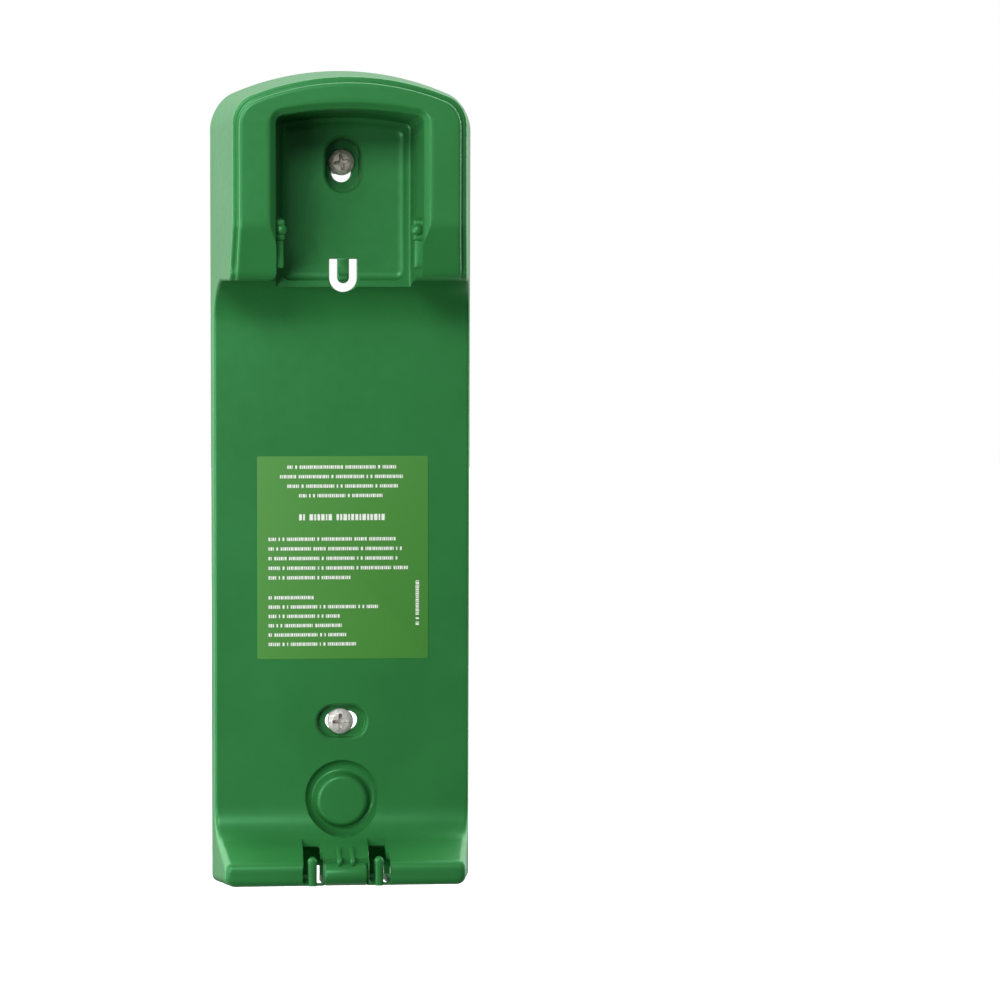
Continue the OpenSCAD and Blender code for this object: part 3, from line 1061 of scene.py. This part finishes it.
    def mouth_tab(self, side: int) -> list[bpy.types.Object]:
        """The catch inside the mouth: a long low pad with a domed stub on it.

        Args:
            side: -1 for the left catch, 1 for the right one.

        Returns:
            The solids to add.
        """
        x0, x1 = sorted((side * 21.4, side * 25.2))
        pad = flared("mouth_pad", box_loop(x0, x1, 210.6, 226.9, 0.8),
                     np.array([[-0.5, 38.0], [0, 38.5], [0, 41.2], [-0.2, 41.7], [-0.7, 41.95]]))
        x0, x1 = sorted((side * 21.0, side * 25.2))
        upper = flared("mouth_step", box_loop(x0, x1, 219.7, 226.5, 0.7),
                       np.array([[-0.5, 38.3], [0, 38.8], [0, 42.0], [-0.2, 42.5], [-0.7, 42.75]]))
        dome = eased_corners([(0, 38.5, 0), (1.9, 38.5, 0), (2.0, 42.9, 1.3), (0, 44.4, 0)], 8)
        return [pad, upper, turned("mouth_stub", dome, side * 22.3, 223.2, 32)]


# --- flexing pieces ----------------------------------------------------------------------------


@dataclass
class Tongue:
    """The sprung tongue in its window, thicker at its nib."""

    half_w: float = 2.0
    tip_z: float = 205.8
    root_z: float = 214.3
    front: float = 13.0
    thick: float = 2.0

    def build(self, green: bpy.types.Material) -> bpy.types.Object:
        """Makes the tongue: a round-ended strip with eased edges and a nib.

        Args:
            green: the moulded green material.

        Returns:
            The finished piece.
        """
        w = self.half_w
        loop = np.concatenate([arc(0, self.tip_z + w, w, 180, 360, 21),
                               [[w, 210.0], [w, 213.0], [w, self.root_z]],
                               [[-w, self.root_z], [-w, 213.0], [-w, 210.0]]])
        grow = np.array([[-0.35, self.front - self.thick], [0, self.front - self.thick + 0.35],
                         [0, self.front - 0.4], [-0.12, self.front - 0.12], [-0.4, self.front - 0.02]])
        strip = flared("tongue_strip", loop, grow)
        nib = eased_corners([(12.4, 206.6, 0), (13.9, 207.0, 0.3), (13.9, 208.0, 0.4), (12.4, 209.8, 0)], 4)
        work_in(strip, slab_across("nib", nib, -1.5, 1.5, 0.3), Cut.ADD)
        crease(strip, 34)
        dress(strip, green)
        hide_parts("tongue")
        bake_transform(strip)
        return strip


@dataclass
class CoverHook:
    """One of the two hooks that hold a cover's pin: a finger with a round head."""

    side: int
    away: float = 11.25
    half_w: float = 1.6

    def build(self, green: bpy.types.Material) -> bpy.types.Object:
        """Makes the finger: its front outline, round at the top, with eased edges.

        Args:
            green: the moulded green material.

        Returns:
            The finished piece.
        """
        name = "left" if self.side < 0 else "right"
        x = self.side * self.away
        w = self.half_w
        stem = [[x - w + 0.12, 10.2], [x - w + 0.15, 8.0], [x - w + 0.15, 3.2], [x + w - 0.15, 3.2],
                [x + w - 0.15, 8.0], [x + w - 0.12, 10.2]]
        loop = np.concatenate([arc(x, 11.4, w, -12, 192, 21), stem])
        grow = np.array([[-0.5, 24.6], [-0.12, 24.85], [0, 25.2], [0, 26.7], [-0.14, 27.2], [-0.5, 27.55],
                         [-0.9, 27.7]])
        hook = flared(f"cover_hook_{name}", loop, grow)
        crease(hook, 34)
        dress(hook, green)
        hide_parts(f"hook_{name}")
        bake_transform(hook)
        return hook


# --- label -------------------------------------------------------------------------------------


@dataclass
class Label:
    """The film label with generic printed strokes in the places of its lines."""

    width: float = 58.5
    height: float = 69.5
    low: float = 77.6
    shift: float = 0.4
    depth: float = 6.0

    def film(self, material: bpy.types.Material) -> bpy.types.Object:
        """The film: a thin plate with small round corners and eased edges."""
        x0 = self.shift - self.width / 2
        loop = box_loop(x0, x0 + self.width, self.low, self.low + self.height, 0.7)
        grow = np.array([[0, self.depth - 0.1], [0, self.depth + 0.08], [-0.06, self.depth + 0.13],
                         [-0.15, self.depth + 0.15]])
        film = flared("label_film", loop, grow)
        crease(film, 40)
        dress(film, material)
        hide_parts("label")
        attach(film, "holder")
        return film

    def strokes(self, x: float, z: float, width: float, tall: float, seed: int) -> Array:
        """Plain upright strokes in word-like groups along one line.

        Stroke widths and gaps follow a fixed sine pattern of the stroke's number; every fifth to
        eighth gap is a wider one between groups.

        Args:
            x: left end from the label's left edge.
            z: foot of the strokes from the label's foot.
            width: length of the line.
            tall: height of the strokes.
            seed: shifts the pattern.

        Returns:
            (n, 4) array of left, right, foot and head.
        """
        i = np.arange(200) + 17 * seed
        wide = tall * (0.42 + 0.16 * np.sin(i * 2.4))
        group = (np.sin(i * 0.83) + np.sin(i * 0.37)) > 1.15
        gap = np.where(group, tall * 0.75, tall * 0.2)
        left = np.cumsum(np.concatenate([[0], (wide + gap)[:-1]]))
        keep = left + wide < width
        lx = self.shift - self.width / 2 + x + left
        foot = np.full(len(i), self.low + z)
        return np.stack([lx, lx + wide, foot, foot + tall], axis=-1)[keep]

    def print_layer(self, material: bpy.types.Material) -> bpy.types.Object:
        """The print: every stroke is a thin closed block on the film."""
        tall, margin = 1.15, 3.8
        rows = [self.strokes((self.width - w) / 2, 65.2 - 3.25 * k, w, tall, k)
                for k, w in enumerate((38, 43, 38, 30))]
        rows.append(self.strokes((self.width - 30) / 2, 47.6, 30, 2.1, 5))
        rows += [self.strokes(margin, 40.6 - 3.3 * k, w, tall, 7 + k)
                 for k, w in enumerate((44, 46, 45, 48, 28))]
        rows += [self.strokes(margin, 20.6 - 3.2 * k, w, tall, 13 + k)
                 for k, w in enumerate((16, 38, 25, 25, 27, 31))]
        side = self.strokes(0, 0, 16, tall, 21)
        x0 = self.shift - self.width / 2
        foot = side[:, 2] - self.low
        head = side[:, 3] - self.low
        rows.append(np.stack([x0 + 55.3 - head, x0 + 55.3 - foot, self.low + 11.5 + side[:, 0] - x0,
                              self.low + 11.5 + side[:, 1] - x0], axis=-1))
        bars = np.concatenate(rows)
        lo, hi = self.depth + 0.145, self.depth + 0.23
        corners = np.stack([bars[:, [0, 2]], bars[:, [1, 2]], bars[:, [1, 3]], bars[:, [0, 3]]], axis=1)
        both = np.concatenate([corners, corners], axis=1)
        depth = np.broadcast_to(np.repeat([lo, hi], 4)[None], both.shape[:2])
        pts = np.stack([both[..., 0], depth, both[..., 1]], axis=-1)
        cell = np.array([[0, 1, 2, 3], [7, 6, 5, 4], [0, 4, 5, 1], [1, 5, 6, 2], [2, 6, 7, 3], [3, 7, 4, 0]])
        faces = (np.arange(len(bars))[:, None, None] * 8 + cell[None]).reshape(-1, 4)
        shell = Shell("label_strokes")
        shell.take(pts.reshape(-1, 3), faces.tolist())
        layer = shell.build(weld=1e-9)
        crease(layer, 20)
        dress(layer, material)
        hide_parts("label_print")
        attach(layer, "holder")
        return layer


# --- wall fixings ------------------------------------------------------------------------------


@dataclass
class Fixing:
    """A pan-head wall screw in its plug."""

    name: str
    x: float
    z: float
    turn: float
    under: float = 3.15
    length: float = 37.5
    core_r: float = 1.62
    shank_r: float = 2.25
    head_r: float = 4.42
    pitch: float = 1.8

    def screw(self, steel: bpy.types.Material) -> bpy.types.Object:
        """The screw: a turned head with a cross recess, on a shank with a running thread.

        Args:
            steel: the plated steel material.

        Returns:
            The finished piece.
        """
        head = eased_corners([(0, self.under - 1.2, 0), (2.1, self.under - 1.2, 0), (2.1, self.under, 0.1),
                              (self.head_r, self.under, 0.25), (self.head_r, self.under + 1.3, 1.0),
                              (self.head_r - 1.5, self.under + 2.3, 1.2), (0, self.under + 2.5, 0)], 7)
        item = turned(f"wall_screw_{self.name}", head, self.x, self.z, 72)
        work_in(item, self.recess(), Cut.REMOVE)
        work_in(item, self.thread(), Cut.ADD)
        crease(item, 38)
        dress(item, steel)
        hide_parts(f"screw_{self.name}")
        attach(item, f"{self.name}_fixing")
        return item

    def recess(self) -> bpy.types.Object:
        """The cross recess: a star of four flat arms that narrows as it goes in."""
        out, wide, web = 2.75, 0.55, 0.95
        corner = np.array([[out, -wide], [out + 0.12, 0], [out, wide], [web, wide + 0.12],
                           [wide + 0.12, web]])
        a = np.radians(np.arange(4) * 90 + self.turn)
        spin = np.stack([np.stack([np.cos(a), -np.sin(a)], -1), np.stack([np.sin(a), np.cos(a)], -1)], 1)
        loop = np.einsum("kij,nj->kni", spin, corner).reshape(-1, 2)
        size = np.array([0.62, 0.85, 0.95, 1.0, 1.04])
        depth = self.under + np.array([0.15, 0.5, 1.3, 2.3, 3.2])
        return lofted("recess", at_depths(loop[None] * size[:, None, None], depth, self.x, self.z))

    def thread(self) -> bpy.types.Object:
        """Shank and thread as one surface.

        The radius is the core's plus a ridge that follows the phase, which is depth over pitch less
        the angle's share of a turn. Both fade at neck and tip.

        Returns:
            The solid to add to the head.
        """
        sides, rows = 40, 260
        y = spread(self.under - 0.9, self.under - self.length, rows)[:, None]
        a = (np.arange(sides) * 2 * np.pi / sides)[None]
        run = self.under - y
        phase = (run / self.pitch - a / (2 * np.pi)) % 1.0
        ridge = np.clip(1 - np.abs(phase - 0.5) / 0.2, 0, 1)
        tip = np.clip((self.length - run) / 4.6, 0, 1) ** 0.8
        on = smooth_step((run - 4.5) / 1.5)
        r = (self.core_r + (self.shank_r - 1.75) * (1 - on) + 0.62 * ridge * on) * tip
        shell = Shell("thread")
        points = np.stack([self.x + r * np.cos(a), y + 0 * a, self.z + r * np.sin(a)], axis=-1)
        shell.grid(points, closed=True)
        shell.cap(points[0])
        return shell.build(weld=1e-6)

    def plug(self, nylon: bpy.types.Material) -> bpy.types.Object:
        """The plug: a ringed sleeve, slit from its far end, with a bore for the screw.

        Args:
            nylon: the grey nylon material.

        Returns:
            The finished piece.
        """
        teeth = [(2.95 if k % 2 == 0 else 2.55, -4.0 - 1.35 * k, 0.15) for k in range(16)]
        profile = eased_corners([(2.35, -0.2, 0), (3.0, -0.2, 0.1), (3.0, -2.6, 0.2), *teeth,
                                 (2.9, -27.0, 0.3), (2.5, -29.9, 0.3), (2.35, -29.9, 0)], 2)
        a = np.arange(56) * 2 * np.pi / 56
        loop = np.concatenate([profile, [[2.35, -15.0]], profile[:1]])
        shell = Shell(f"wall_plug_{self.name}")
        r, d = loop[:, :1], loop[:, 1:]
        points = np.stack([self.x + r * np.cos(a), d + 0 * a, self.z + r * np.sin(a)], axis=-1)
        shell.grid(points, closed=True)
        item = shell.build(weld=1e-6)
        slit = flared("slit", box_loop(self.x - 0.3, self.x + 0.3, self.z - 5, self.z + 5, 0.05),
                      np.array([[0, -32.0], [0, -11.0]]))
        work_in(item, slit, Cut.REMOVE)
        crease(item, 32)
        dress(item, nylon)
        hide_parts(f"plug_{self.name}")
        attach(item, f"{self.name}_fixing")
        return item


# --- studio ------------------------------------------------------------------------------------


@dataclass
class Studio:
    """Pale floor, soft lights and the camera."""

    floor_z: float = -0.30
    front_fill: float = 0.22
    ring: float = 5.0
    low_fill: float = 0.15

    def floor(self) -> None:
        """A wide pale floor, made as a one-cell grid."""
        mesh = bpy.data.meshes.new("studio_floor")
        mesh.from_pydata([(-4, -3, self.floor_z), (4, -3, self.floor_z), (4, 5, self.floor_z),
                          (-4, 5, self.floor_z)], [], [(0, 1, 2, 3)])
        item = bpy.data.objects.new("studio_floor", mesh)
        item.visible_diffuse = item.visible_glossy = False
        bpy.context.scene.collection.objects.link(item)
        mesh.materials.append(PaleFloor().make())

    def light(self, name: str, place: tuple[float, float, float], size: tuple[float, float], watts: float,
              aim: tuple[float, float, float] = (0, 0, 0)) -> None:
        """A rectangular soft light that faces its aim.

        Args:
            name: name of the light.
            place: where it stands, in metres.
            size: width and height in metres.
            watts: power.
            aim: point it faces.
        """
        data = bpy.data.lights.new(name, "AREA")
        data.shape, data.size, data.size_y, data.energy = "RECTANGLE", *size, watts
        item = bpy.data.objects.new(name, data)
        item.location = place
        item.rotation_euler = (Vector(aim) - Vector(place)).to_track_quat("-Z", "Y").to_euler()
        bpy.context.scene.collection.objects.link(item)

    def world(self) -> None:
        """White surroundings: plain white to look at, and a soft ring of light for the object.

        The light from a direction is front fill plus ring times a fall with its distance from the
        wall's plane, both faded out below.
        """
        world = bpy.data.worlds.new("studio_world")
        bpy.context.scene.world = world
        world.use_nodes = True
        tree = world.node_tree
        ground = tree.nodes["Background"]
        ground.inputs["Color"].default_value = (1, 1, 1, 1)

        def ranged(value: bpy.types.NodeSocket, ends: Sequence[float]) -> bpy.types.NodeSocket:
            """Takes one range of a value to another, eased."""
            node = tree.nodes.new("ShaderNodeMapRange")
            node.interpolation_type = "SMOOTHSTEP"
            for key, number in zip(("From Min", "From Max", "To Min", "To Max"), ends):
                node.inputs[key].default_value = number
            tree.links.new(value, node.inputs["Value"])
            return node.outputs["Result"]

        def worked(kind: str, a: bpy.types.NodeSocket, b: bpy.types.NodeSocket) -> bpy.types.NodeSocket:
            """Joins two values by one sum."""
            node = tree.nodes.new("ShaderNodeMath")
            node.operation = kind
            tree.links.new(a, node.inputs[0])
            tree.links.new(b, node.inputs[1])
            return node.outputs["Value"]

        split = tree.nodes.new("ShaderNodeSeparateXYZ")
        tree.links.new(tree.nodes.new("ShaderNodeTexCoord").outputs["Generated"], split.inputs["Vector"])
        front = ranged(split.outputs["Y"], (-0.06, 0.2, self.front_fill, self.ring))
        back = ranged(split.outputs["Y"], (0.45, 0.9, 1.0, 0.12))
        low = ranged(split.outputs["Z"], (-0.55, 0.1, self.low_fill, 1.0))
        light = worked("MULTIPLY", worked("MULTIPLY", front, back), low)
        path = tree.nodes.new("ShaderNodeLightPath")
        tree.links.new(worked("MAXIMUM", light, path.outputs["Is Camera Ray"]), ground.inputs["Strength"])

    def camera(self) -> None:
        """The camera: a long lens about a metre off, a little left of the holder and above its middle."""
        data = bpy.data.cameras.new("camera")
        data.lens = 106.3
        data.sensor_width = 36.0
        data.shift_x, data.shift_y = 0.1575, -0.0172
        item = bpy.data.objects.new("camera", data)
        item.location = (-0.067, -1.008, 0.065)
        item.rotation_euler = Vector((0.0671, 1.0, -0.0658)).to_track_quat("-Z", "Y").to_euler()
        bpy.context.scene.collection.objects.link(item)
        bpy.context.scene.camera = item

    def build(self) -> None:
        """Sets up floor, lights, surroundings and camera."""
        self.floor()
        self.world()
        self.light("key", (-0.20, -0.62, 0.36), (0.26, 0.18), 2.6, (0.0, 0.0, -0.02))
        self.light("low", (-0.34, -0.54, -0.06), (0.26, 0.18), 1.4, (0.0, 0.0, -0.02))
        self.light("side", (-0.42, -0.22, 0.0), (0.12, 0.7), 1.1, (0.0, 0.0, 0.0))
        self.camera()
        bpy.context.scene.view_settings.view_transform = "Standard"


def report(item: bpy.types.Object) -> None:
    """Logs a finished piece and its number of faces."""
    log.info("%s: %d faces", item.name, len(item.data.polygons))


def main() -> None:
    """Builds the holder piece by piece, then the studio round it."""
    logging.basicConfig(level=logging.INFO, format="%(message)s")
    Studio().build()
    green = MouldedGreen().make()
    report(Moulding().build(green))
    report(Tongue().build(green))
    for side in (-1, 1):
        report(CoverHook(side).build(green))
    label = Label()
    report(label.film(PrintedFilm().make()))
    report(label.print_layer(PrintInk().make()))
    nylon = PlugNylon().make()
    # Darker, warmer copy of the plated steel for the upper screw, which sits in the hood's shadow: painted
    # shade.
    painted_shade_steel = PlatedSteel("steel_painted_shade", (0.42, 0.38, 0.32), (0.68, 0.64, 0.57))
    fixings = ((Fixing("upper", 0.0, 246.8, 10.0), painted_shade_steel), (Fixing("lower", -0.4, 55.9, 2.0), PlatedSteel()))
    for fixing, steel in fixings:
        report(fixing.screw(steel.make()))
        report(fixing.plug(nylon))


if __name__ == "__main__":
    main()
